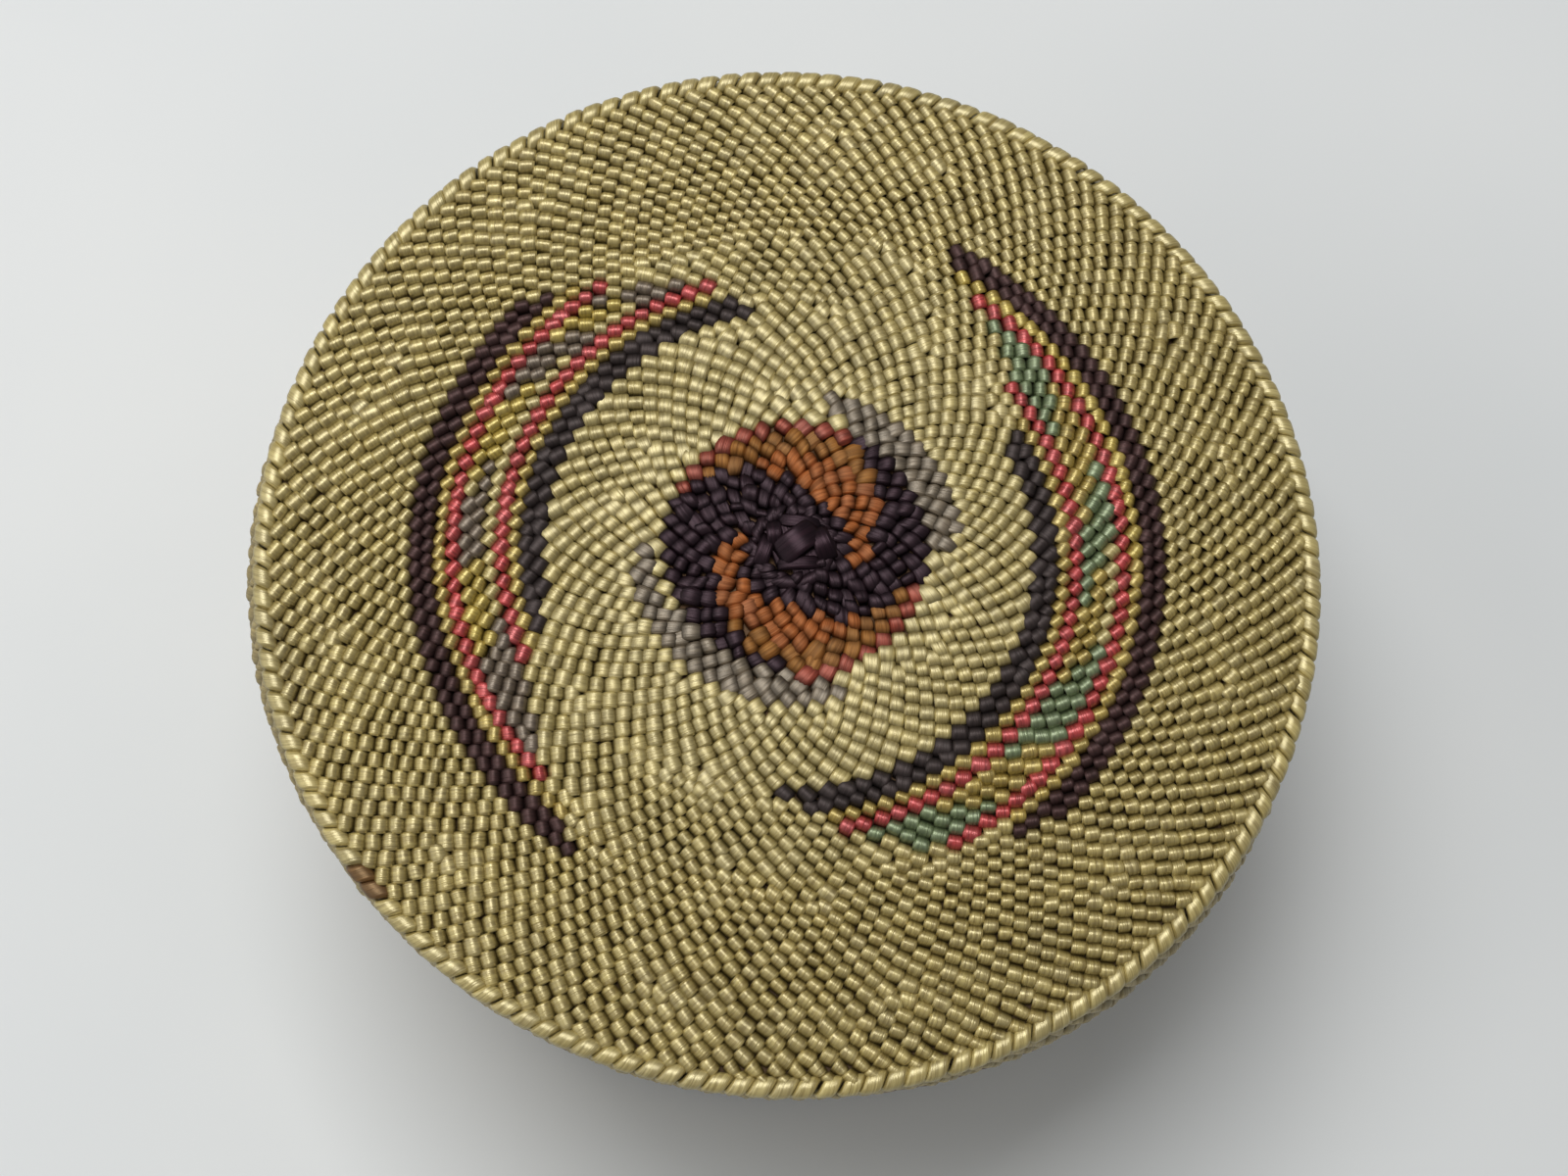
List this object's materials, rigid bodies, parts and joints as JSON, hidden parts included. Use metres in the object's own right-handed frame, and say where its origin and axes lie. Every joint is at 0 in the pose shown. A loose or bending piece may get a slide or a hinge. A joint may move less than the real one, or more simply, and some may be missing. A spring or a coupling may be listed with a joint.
{
  "type": "lidded grass basket",
  "caption": "Small round basket of wrapped twining with straight sides and a low-domed lift-off lid whose skirt fits over the rim",
  "frame": {"origin": "on the floor, under the middle of the foot round", "axes": "+Z up along the basket's own axis, +X to the right and +Y up in the picture of the lid"},
  "size_m": [0.12, 0.12, 0.0681],
  "materials": {
    "grass": "dried grass, satin",
    "dyed_grass": "dyed grass, satin",
    "bark": "split inner bark, matte",
    "bark_weft": "twisted bark, matte",
    "dark_bark": "dark dyed bark, matte"
  },
  "bodies": {
    "basket": {"mat_and_warps": "bark", "base_wefts": "bark_weft", "foot_round": "dark_bark", "wall_grass": "grass", "wall_back_wefts": "bark_weft", "rim_binding": "dark_bark"},
    "lid": {"lid_start_knot": "dyed_grass", "lid_grass_top": "grass", "lid_warps": "bark", "lid_back_wefts": "bark_weft", "lid_edge_round": "grass", "lid_skirt_grass": "grass", "lid_skirt_binding": "dark_bark"}
  },
  "joints": [
    {"name": "lid_lift", "type": "slide", "parent": "basket", "child": "lid", "axis": [0, 0, 1], "range_m": [0, 0.08]}
  ]
}
